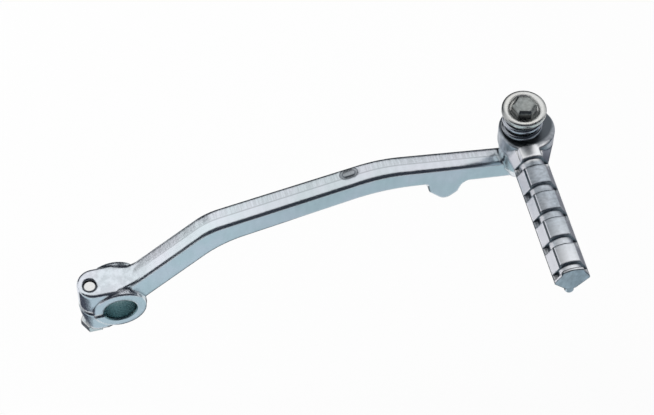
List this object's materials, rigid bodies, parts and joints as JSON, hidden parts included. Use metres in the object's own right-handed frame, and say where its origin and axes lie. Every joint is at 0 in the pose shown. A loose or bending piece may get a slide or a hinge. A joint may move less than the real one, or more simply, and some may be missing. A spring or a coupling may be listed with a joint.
{
  "type": "kick start lever",
  "caption": "Forged kick start lever: a split serrated clamp hub, a bent arm with a stop lug, and a grooved foot pedal that folds on a sprung pivot bolt.",
  "frame": {"origin": "On the axis of the clamp bore, in the middle plane of the arm.", "axes": "+Y runs along the bore towards the engine, +Z runs along the pivot bolt and the pinch bolt, towards the pedal's spring, and +X points from the bore to the pedal end."},
  "size_m": [0.2017, 0.0829, 0.0964],
  "materials": {
    "plated_arm": "bright zinc plate over a smooth forging",
    "plated_pedal": "bright zinc plate over a forged tread",
    "plated_bolt": "bright zinc plate",
    "spring_steel": "plated spring wire"
  },
  "bodies": {
    "lever": {"lever_arm": "plated_arm", "pinch_bolt": "plated_bolt", "pivot_bolt": "plated_bolt", "spring_cup": "plated_bolt", "pedal_spring": "spring_steel"},
    "pedal": {"foot_pedal": "plated_pedal"}
  },
  "joints": [
    {"name": "pedal_fold", "type": "hinge", "parent": "lever", "child": "pedal", "pos_m": [0.1716, 0, 0.0564], "axis": [0, 0, -1], "range_deg": [0, 75]}
  ]
}
